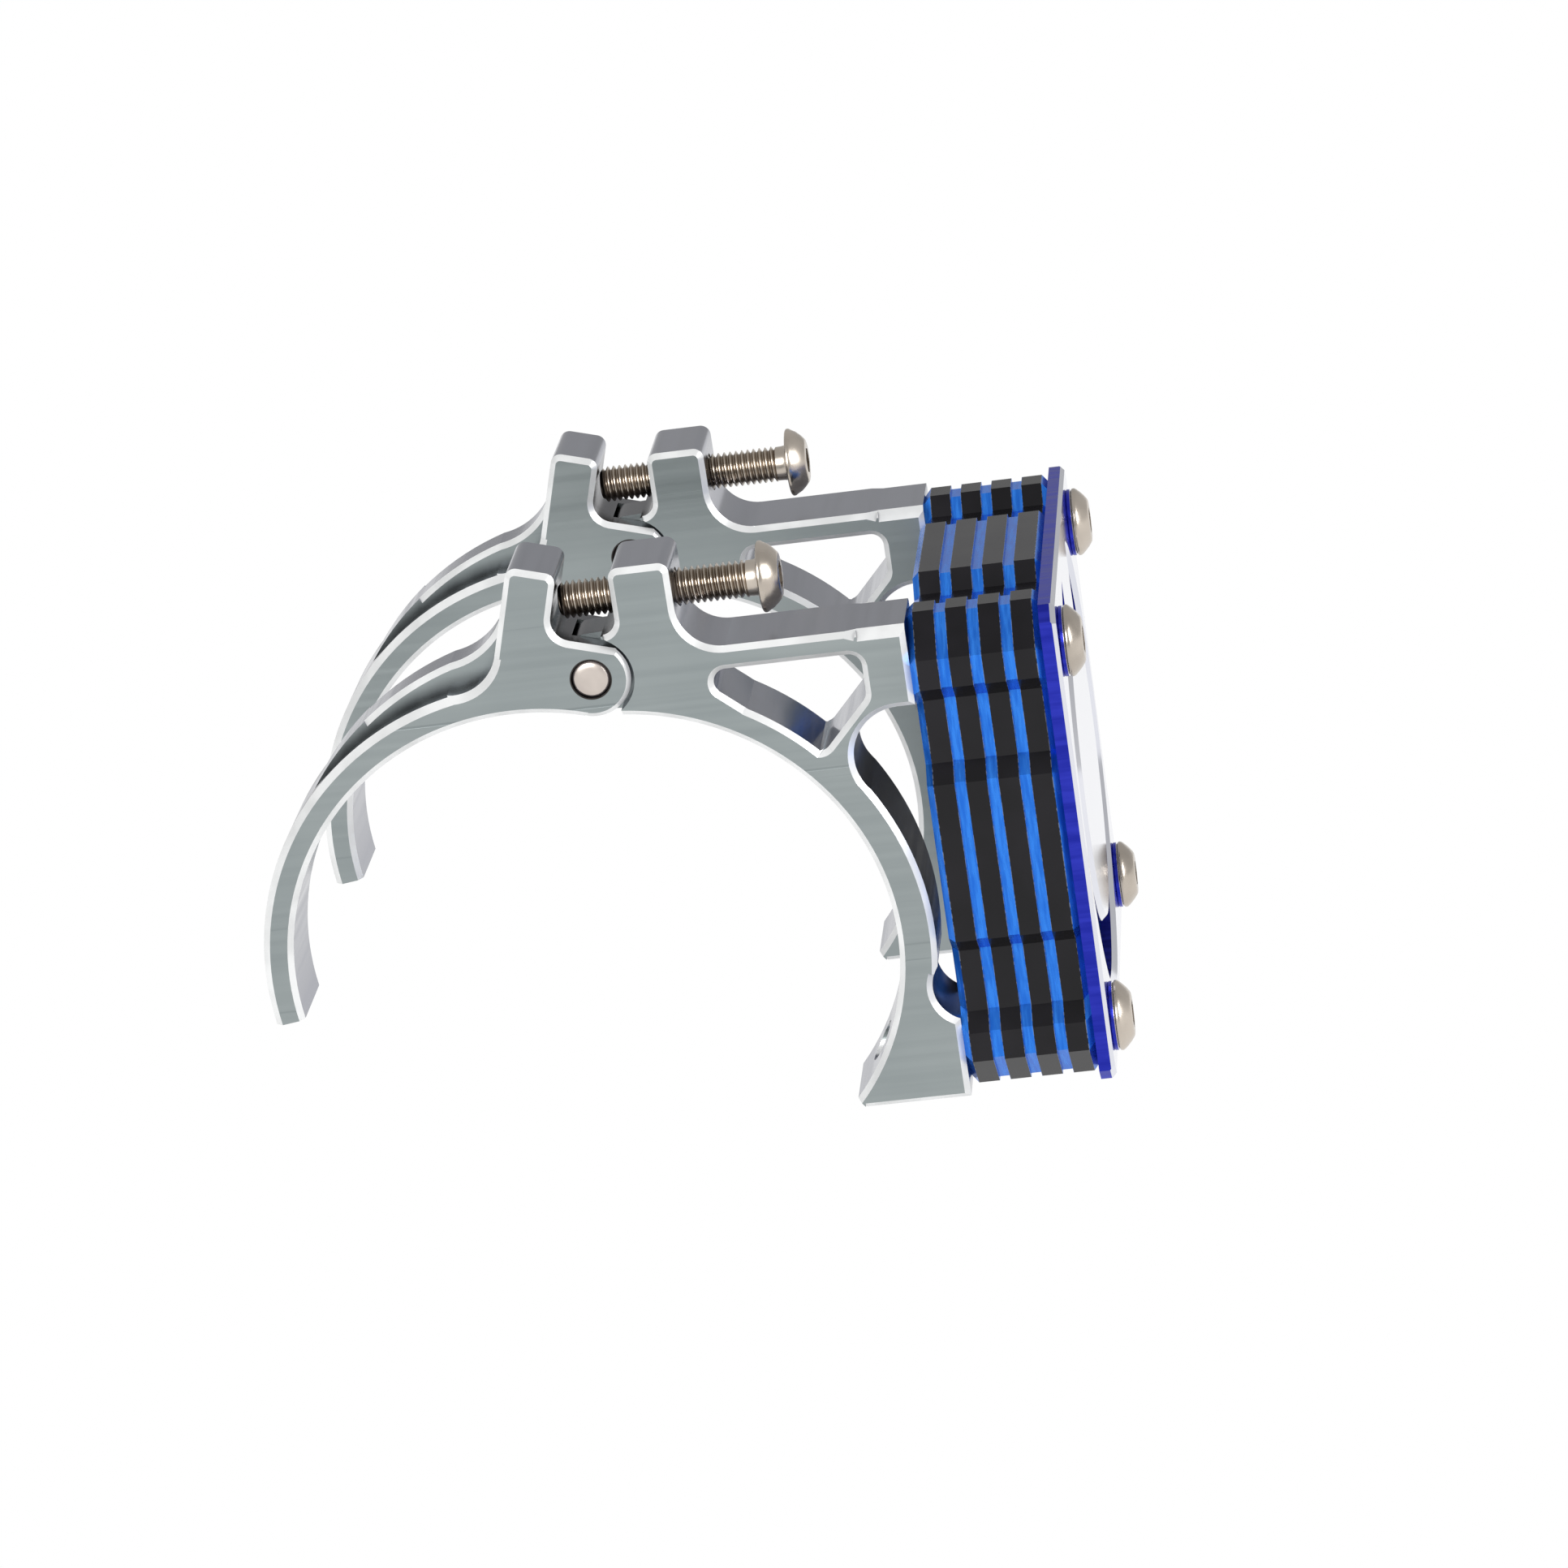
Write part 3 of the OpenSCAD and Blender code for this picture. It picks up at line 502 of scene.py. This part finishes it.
def apply_modifier(piece, kind, **settings):
    pick(piece)
    modifier = piece.modifiers.new(kind.lower(), kind)
    for key, value in settings.items():
        setattr(modifier, key, value)
    bpy.ops.object.modifier_apply(modifier=modifier.name)


def combine(piece, other, operation):
    """Adds, cuts away or keeps the overlap with another piece, which is used up."""
    apply_modifier(piece, "BOOLEAN", operation=operation, object=other, solver="EXACT")
    remove(other)


def close_slivers(piece):
    """Draws together the near-doubled points that combining leaves."""
    pick(piece)
    bpy.ops.object.mode_set(mode="EDIT")
    bpy.context.tool_settings.mesh_select_mode = (True, False, False)
    bpy.ops.mesh.select_all(action="SELECT")
    bpy.ops.mesh.remove_doubles(threshold=SLIVER)
    bpy.ops.mesh.dissolve_degenerate(threshold=SLIVER)
    bpy.ops.object.mode_set(mode="OBJECT")


def placed_copy(master, name, where=(0.0, 0.0, 0.0), turn=0.0):
    """A copy with its own mesh, turned about X and moved."""
    piece = master.copy()
    piece.data = master.data.copy()
    piece.name = name
    bpy.context.scene.collection.objects.link(piece)
    settle_place(piece, where, (turn, 0.0, 0.0))
    return piece


def joined(pieces, name):
    pick(pieces[0])
    for piece in pieces[1:]:
        piece.select_set(True)
    bpy.ops.object.join()
    pieces[0].name = name
    return pieces[0]


def finish_piece(piece, finish, body, node, angle=35.0):
    """Smooths, colours and hangs a piece on its body in place of its plain solid."""
    pick(piece)
    bpy.ops.object.shade_smooth_by_angle(angle=radians(angle))
    piece.data.materials.clear()
    piece.data.materials.append(finish)
    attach(piece, body)
    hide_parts(node)


# ---------------------------------------------------------------- socket screws

def close_end(piece, low_end):
    """Draws the open rim at one end of a thread in to a single point."""
    bpy.ops.object.mode_set(mode="OBJECT")
    mesh = piece.data
    xs = [v.co.x for v in mesh.vertices]
    centre = (min(xs) + max(xs)) / 2
    faces_on = {}
    for face in mesh.polygons:
        for key in face.edge_keys:
            faces_on[key] = faces_on.get(key, 0) + 1
    bpy.ops.object.mode_set(mode="EDIT")
    bpy.context.tool_settings.mesh_select_mode = (False, True, False)
    bpy.ops.mesh.select_all(action="DESELECT")
    bpy.ops.object.mode_set(mode="OBJECT")
    for edge in mesh.edges:
        here = (mesh.vertices[edge.vertices[0]].co.x < centre) == low_end
        edge.select = here and faces_on[edge.key] == 1
    bpy.ops.object.mode_set(mode="EDIT")
    bpy.ops.mesh.extrude_region_move(TRANSFORM_OT_translate={"value": (0.0, 0.0, 0.0)})
    bpy.ops.mesh.merge(type="CENTER")


def threaded_shank():
    """A rolled thread along X, cut to length between the neck and a chamfered tip."""
    tooth = [(0.0, ROOT_R), (0.06, ROOT_R), (0.44, THREAD_R), (0.56, THREAD_R),
             (0.94, ROOT_R), (1.0, ROOT_R)]
    shank = new_point("shank", -SCREW_L - PITCH, ROOT_R)
    draw_out([(share * PITCH, r) for share, r in tooth])
    bpy.ops.object.mode_set(mode="OBJECT")
    apply_modifier(shank, "SCREW", axis="X", screw_offset=PITCH * MM,
                   iterations=int(SCREW_L / PITCH) + 1, steps=28, render_steps=28,
                   use_merge_vertices=True, merge_threshold=MERGE)
    bpy.ops.object.mode_set(mode="EDIT")
    bpy.ops.mesh.select_all(action="SELECT")
    bpy.ops.mesh.remove_doubles(threshold=MERGE)
    close_end(shank, True)
    close_end(shank, False)
    settle()
    over = THREAD_R + 0.01
    blank = turned("blank", [
        (-SCREW_L, 0.0), (-SCREW_L, TIP_R), (-SCREW_L + over - TIP_R, over),
        (-NECK, over), (-NECK, 0.0)], steps=40)
    apply_modifier(shank, "TRIANGULATE")
    combine(shank, blank, "INTERSECT")
    close_slivers(shank)
    return shank


def hex_key(depth, across, x):
    """The tool that sinks a hexagon socket with eased edges into a face at x."""
    bpy.ops.object.select_all(action="DESELECT")
    bpy.ops.mesh.primitive_cylinder_add(
        vertices=6, radius=across * MM, depth=2 * depth * MM,
        location=(x * MM, 0.0, 0.0), rotation=(0.0, pi / 2, 0.0))
    key = bpy.context.object
    bpy.ops.object.mode_set(mode="EDIT")
    bpy.ops.mesh.select_all(action="SELECT")
    bpy.ops.mesh.bevel(offset=0.06 * MM, segments=2, affect="EDGES")
    settle()
    return key


def socket_screw(h):
    """A button-head screw along X with a head h high, its under-head face at X = 0."""
    r = HEAD_R
    neck = [(-NECK - 0.15, 0.0), (-NECK - 0.15, ROOT_R), (-NECK, THREAD_R - 0.08),
            (-0.45, THREAD_R - 0.06), (-0.15, THREAD_R), (0.0, THREAD_R + 0.09)]
    rim = [(0.0, r - 0.3), (0.03, r - 0.12), (0.12, r - 0.015), (0.22, r), (0.34, r - 0.02),
           (0.5, r - 0.13)]
    dome = [(0.53, 0.885), (0.76, 0.77), (0.93, 0.66), (0.985, 0.61), (1.0, 0.57), (1.0, 0.0)]
    head = turned("socket_screw", neck + rim + [(h * a, r * s) for a, s in dome], steps=56)
    combine(head, hex_key(h * 0.62, THREAD_R * 0.77, h), "DIFFERENCE")
    combine(head, threaded_shank(), "UNION")
    close_slivers(head)
    return head


def corners(name, inset):
    """The middles, in Y and Z, of four equal pieces in a square, inset from its box."""
    (y0, y1), (z0, z1) = span(name, 1), span(name, 2)
    return [(y, z) for y in (y0 + inset, y1 - inset) for z in (z0 + inset, z1 - inset)]


def fit_screws(clamp_finish, plate_finish):
    """A jack screw in each clamp and four low-headed screws in the cover plate."""
    master = socket_screw(HEAD_H)
    for side, turn in (("near", 12.0), ("far", 41.0)):
        node = side + "_clamp_screw"
        where = (span(node, 0)[1] - HEAD_H, middle(node, 1), middle(node, 2))
        screw = placed_copy(master, side + "_jack_screw", where, radians(turn))
        finish_piece(screw, clamp_finish, side + "_screw", node)
    remove(master)
    low_head = width("plate_screws", 0) - SCREW_L
    seat_x = span("plate_screws", 0)[1] - low_head
    master = socket_screw(low_head)
    screws = [placed_copy(master, "cover_screw", (seat_x, y, z), radians(7.0 + 19.0 * i))
              for i, (y, z) in enumerate(corners("plate_screws", HEAD_R))]
    finish_piece(joined(screws, "cover_screws"), plate_finish, "base", "plate_screws")
    remove(master)


# ---------------------------------------------------------------- washers, dowels

def fit_washers(finish):
    """Four flat washers with eased edges."""
    thick = width("plate_washers", 0)
    rim_r, hole_r, ease = HEAD_R - 0.05, THREAD_R + 0.1, 0.07
    master = turned("washer", [
        (0.0, hole_r), (0.0, rim_r - ease), (ease, rim_r), (thick - ease, rim_r),
        (thick, rim_r - ease), (thick, hole_r), (0.0, hole_r)])
    rings = [placed_copy(master, "washer_ring", (span("plate_washers", 0)[0], y, z))
             for y, z in corners("plate_washers", rim_r)]
    finish_piece(joined(rings, "cover_washers"), finish, "base", "plate_washers")
    remove(master)


def fit_dowels(finish):
    """Hinge dowels with chamfered, faintly crowned ends."""
    half = width("near_hinge_pin", 1) / 2
    end = [(0.0, 0.0), (0.0, 0.55 * PIN_R), (0.04, 0.86 * PIN_R), (0.12, 0.915 * PIN_R),
           (0.26, PIN_R)]
    profile = [(-half + a, s) for a, s in end] + [(half - a, s) for a, s in reversed(end)]
    master = turned("dowel", profile, axis="Y", steps=64)
    for side in ("near", "far"):
        node = side + "_hinge_pin"
        pin = placed_copy(master, side + "_dowel", [middle(node, axis) for axis in range(3)])
        finish_piece(pin, finish, "base", node, 50.0)
    remove(master)


# ---------------------------------------------------------------- impeller

def fan_blade(x0, x1, hub_r, tip_r):
    """One cambered, twisted blade, standing on the hub along +Z."""
    foot_r, past_tip_r, rows = hub_r - 0.4, tip_r + 0.6, 5
    rise = (past_tip_r - foot_r) / rows
    blade = new_point("blade", 0.0, foot_r)
    draw_out([(0.0, foot_r + rise * i) for i in range(rows + 1)])
    bpy.ops.mesh.select_all(action="SELECT")
    bpy.ops.mesh.spin(steps=10, angle=radians(BLADE_ARC), center=(0.0, BLADE_ARC_R * MM, 0.0),
                      axis=(0.0, 0.0, 1.0))
    settle()
    xs = [v.co.x / MM for v in blade.data.vertices]
    ys = [v.co.y / MM for v in blade.data.vertices]
    settle_place(blade, (-(min(xs) + max(xs)) / 2, -(min(ys) + max(ys)) / 2, 0.0))
    settle_place(blade, turn=(0.0, 0.0, radians(BLADE_PITCH)))
    apply_modifier(blade, "SIMPLE_DEFORM", deform_method="TWIST", deform_axis="Z",
                   angle=radians(BLADE_TWIST))
    apply_modifier(blade, "SOLIDIFY", thickness=BLADE_T * MM, offset=0.0)
    settle_place(blade, ((x0 + x1) / 2, 0.0, 0.0))
    inner_r, front, back = hub_r - 0.35, x0 + 0.2, x1 - 0.1
    ring = turned("ring", [(front, inner_r), (front, tip_r), (back, tip_r), (back, inner_r),
                           (front, inner_r)], steps=60)
    apply_modifier(blade, "TRIANGULATE")
    combine(blade, ring, "INTERSECT")
    return blade


def fit_impeller(finish):
    """A rounded hub with blades all round it, as one moulding."""
    x0, x1 = span("impeller", 0)
    tip_r = max(span("impeller", axis)[1] - middle("fan_case", axis) for axis in (1, 2))
    cup_r = width("rotor_cup", 1) / 2
    cup_x = span("rotor_cup", 0)[0]
    shaft_r = width("rotor_shaft", 1) / 2
    hub_r = cup_r + HUB_WALL
    fan = turned("bladed_rotor", [
        (x0, shaft_r), (x0, hub_r - 0.9), (x0 + 0.12, hub_r - 0.42), (x0 + 0.42, hub_r - 0.12),
        (x0 + 0.9, hub_r), (x1, hub_r), (x1, cup_r), (cup_x, cup_r), (cup_x, shaft_r),
        (x0, shaft_r)], steps=96)
    master = fan_blade(x0, x1, hub_r, tip_r)
    blades = [placed_copy(master, "blade_copy", turn=2 * pi * i / BLADES) for i in range(BLADES)]
    remove(master)
    combine(fan, joined(blades, "blade_ring"), "UNION")
    close_slivers(fan)
    settle_place(fan, (0.0, 0.0, FAN_Z))
    finish_piece(fan, finish, "rotor", "impeller", 40.0)


# ---------------------------------------------------------------- finishes on pieces

fixed_grey = clamp_anodise("grey_anodise")
arm_grey = clamp_anodise("grey_anodise_arm", ARM_SWING)
two_tone = case_anodise()
violet = plate_anodise()
nickel = nickel_steel()
jack_nickel = nickel_steel("oiled_jack_screw", oiled=True)
dowel = nickel_steel("ground_dowel", (214, 204, 196), 0.3)
black_nylon = moulded("glass_filled_nylon", (20, 20, 22), (34, 34, 36), 0.42)
BRONZE = (118, 84, 48), (150, 112, 66), 0.5, 1.0
FINISHES = {
    "near_bracket": fixed_grey,
    "far_bracket": fixed_grey,
    "near_arm": arm_grey,
    "far_arm": arm_grey,
    "near_hinge_pin": dowel,
    "far_hinge_pin": dowel,
    "near_clamp_screw": nickel,
    "far_clamp_screw": nickel,
    "plate_screws": nickel,
    "fan_case": two_tone,
    "cover_plate": violet,
    "plate_washers": violet,
    "bearing_tube": moulded("turned_brass", (170, 132, 60), (206, 168, 88), 0.3, 1.0),
    "front_bearing": moulded("sintered_bronze", *BRONZE),
    "rear_bearing": moulded("sintered_bronze_rear", *BRONZE),
    "stator_core": laminated_steel(),
    "stator_coils": copper_winding(),
    "circuit_board": board_lacquer(),
    "lead_grommet": moulded("black_rubber", (22, 22, 23), (36, 36, 37), 0.62),
    "impeller": black_nylon,
    "rotor_cup": moulded("drawn_steel_cup", (120, 120, 124), (150, 150, 154), 0.35, 1.0),
    "magnet_ring": moulded("bonded_magnet", (48, 46, 46), (64, 62, 60), 0.6),
    "rotor_shaft": moulded("ground_shaft", (176, 176, 180), (206, 206, 210), 0.2, 1.0),
    "shaft_clip": moulded("spring_clip", (60, 58, 56), (84, 80, 76), 0.35, 1.0),
}
for name, finish in FINISHES.items():
    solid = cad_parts[name]
    solid.data.materials.clear()
    solid.data.materials.append(finish)

fit_screws(jack_nickel, nickel)
fit_washers(violet)
fit_dowels(dowel)
fit_impeller(black_nylon)


# ---------------------------------------------------------------- floor and light

FLOOR_SIZE = 6.0
FLOOR_GAP = 0.0002
PALE = (0.92, 0.92, 0.92, 1.0)
WHITE = (1.0, 1.0, 1.0, 1.0)
ROOM_LIGHT = 0.55
AIM = (0.012, 0.0, 0.008)


def lay_floor():
    """A pale floor that shows pure white to the camera and to reflections."""
    bpy.ops.object.select_all(action="DESELECT")
    bpy.ops.mesh.primitive_plane_add(size=FLOOR_SIZE,
                                     location=(0.0, 0.0, cad_box[0][2] - FLOOR_GAP))
    floor = bpy.context.object
    floor.name = "bench_top"
    f = Finish("pale_bench", Roughness=0.8)
    f.shader.inputs["Base Color"].default_value = PALE
    glow = f.node("ShaderNodeEmission", {}, {"Color": WHITE, "Strength": 1.0})
    path = f.node("ShaderNodeLightPath")
    seen = Value(f, path.outputs["Is Camera Ray"]) + Value(f, path.outputs["Is Glossy Ray"])
    mix = f.node("ShaderNodeMixShader", {}, {
        0: seen.math("MINIMUM", seen, 1.0), 1: f.shader.outputs[0], 2: glow.outputs[0]})
    f.tree.links.new(mix.outputs[0], f.tree.nodes["Material Output"].inputs[0])
    floor.data.materials.append(f.material)


def soft_box(name, where, size, power):
    """A rectangular lamp, in metres and watts, aimed at the fan."""
    data = bpy.data.lights.new(name, "AREA")
    data.shape = "RECTANGLE"
    data.size, data.size_y = size
    data.energy = power
    lamp = bpy.data.objects.new(name, data)
    bpy.context.scene.collection.objects.link(lamp)
    lamp.location = where
    lamp.rotation_euler = (Vector(AIM) - Vector(where)).to_track_quat("-Z", "Y").to_euler()


def light_room():
    """A room that is white to the camera and a little over half as bright as a light."""
    world = bpy.data.worlds.new("studio")
    bpy.context.scene.world = world
    world.use_nodes = True
    tree = world.node_tree
    back = tree.nodes["Background"]
    back.inputs[0].default_value = WHITE
    path = tree.nodes.new("ShaderNodeLightPath")
    room = tree.nodes.new("ShaderNodeMapRange")
    room.inputs[3].default_value = ROOM_LIGHT
    room.inputs[4].default_value = 1.0
    tree.links.new(path.outputs["Is Camera Ray"], room.inputs[0])
    tree.links.new(room.outputs[0], back.inputs[1])
    soft_box("front_box", (-0.25, -0.7, 0.45), (0.5, 0.4), 6.0)
    soft_box("side_box", (0.7, -0.3, 0.3), (0.3, 0.4), 3.0)
    bpy.context.scene.view_settings.view_transform = "Standard"


lay_floor()
light_room()
